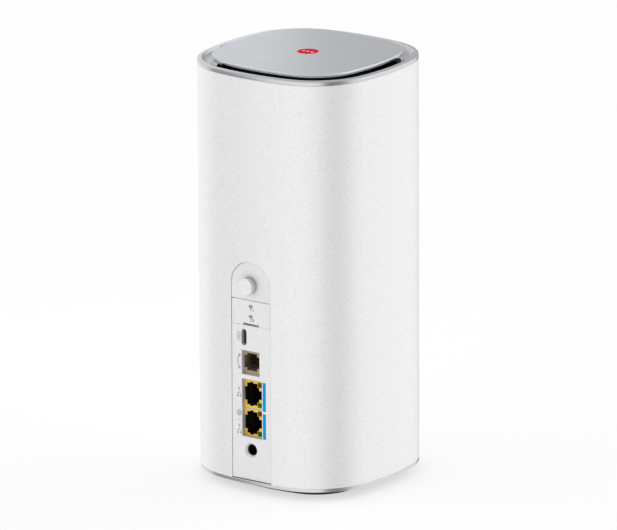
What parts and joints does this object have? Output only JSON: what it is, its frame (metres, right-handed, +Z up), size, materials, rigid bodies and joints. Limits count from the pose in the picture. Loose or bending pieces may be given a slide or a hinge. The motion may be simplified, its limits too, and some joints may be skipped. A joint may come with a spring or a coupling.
{
  "type": "tower wi-fi router",
  "caption": "Tall rounded-square cellular router tower with a floating top plate over a vent slot, rear port panel, push button and hinged antenna flap.",
  "frame": {"origin": "centre of the rubber sole's rest face, on the tower's vertical axis", "axes": "+Z up along the tower, the socket panel faces -Y, +X is to the right when the sockets are seen from outside"},
  "size_m": [0.108, 0.1113, 0.2336],
  "materials": {
    "white_shell": "moulded, finely textured",
    "silver_trim": "satin silver",
    "satin_plate": "satin grey metallic",
    "red_badge": "gloss",
    "badge_mark": "printed white",
    "black_plastic": "matte moulded",
    "black_rubber": "matte",
    "blue_mark": "printed",
    "steel": "tinned",
    "gold_contact": "gold-plated",
    "yellow_plastic": "moulded",
    "amber_lens": "translucent, unlit",
    "green_lens": "translucent, unlit",
    "smoke_plastic": "smoky translucent",
    "grey_plastic": "moulded",
    "circuit_board": "solder mask",
    "thermal_pad": "soft silicone",
    "sink_aluminium": "extruded",
    "white_card": "printed card",
    "clear_lens": "frosted"
  },
  "bodies": {
    "housing": {"antenna_carrier": "grey_plastic", "antenna_jacks": "gold_contact", "badge_dots": "badge_mark", "base_cover": "black_plastic", "base_screws": "steel", "bottom_ring": "silver_trim", "cellular_antenna_1": "circuit_board", "cellular_antenna_2": "circuit_board", "cellular_antenna_3": "circuit_board", "cellular_antenna_4": "circuit_board", "dc_jack_body": "black_plastic", "dc_jack_pin": "steel", "filter_capacitors": "sink_aluminium", "flap_hinge_pin": "steel", "heat_sink_left": "sink_aluminium", "heat_sink_right": "sink_aluminium", "lan_contact_wires": "gold_contact", "lan_frame_lower": "yellow_plastic", "lan_frame_upper": "yellow_plastic", "lan_insert_lower": "black_plastic", "lan_insert_upper": "black_plastic", "lan_lights_amber": "amber_lens", "lan_lights_green": "green_lens", "lan_shield": "steel", "lan_transformers": "black_plastic", "main_board": "circuit_board", "modem_chip": "black_plastic", "modem_shield_can": "steel", "outer_sleeve": "white_shell", "phone_contact_wires": "gold_contact", "phone_frame": "smoke_plastic", "phone_insert": "black_plastic", "plate_post": "black_plastic", "port_marking_strips": "blue_mark", "power_inductors": "black_plastic", "rear_port_panel": "white_shell", "rubber_sole": "black_rubber", "sim_socket": "steel", "sink_screws": "steel", "status_lens": "clear_lens", "status_light_board": "circuit_board", "switch_body": "black_plastic", "thermal_pads": "thermal_pad", "top_badge": "red_badge", "top_plate": "satin_plate", "top_rim": "silver_trim", "usb_c_shell": "steel", "usb_c_tongue": "black_plastic", "vent_grille": "black_plastic", "vent_tray": "silver_trim", "wifi_antenna_1": "circuit_board", "wifi_antenna_2": "circuit_board", "wifi_chip": "black_plastic", "wifi_shield_can": "steel"},
    "button": {"power_button": "white_shell", "switch_plunger": "grey_plastic"},
    "flap": {"antenna_flap": "white_shell"},
    "sim": {"sim_tray": "grey_plastic", "sim_card": "white_card"}
  },
  "joints": [
    {"name": "button_press", "type": "slide", "parent": "housing", "child": "button", "axis": [0, 1, 0], "range_m": [0, 0.0025], "stiffness_N_per_m": 300, "springref_m": -0.002},
    {"name": "flap_hinge", "type": "hinge", "parent": "housing", "child": "flap", "pos_m": [0, -0.05135, 0.10605], "axis": [-1, 0, 0], "range_deg": [0, 90]},
    {"name": "sim_tray_slide", "type": "slide", "parent": "housing", "child": "sim", "axis": [0, 0, -1], "range_m": [0, 0.016]}
  ]
}
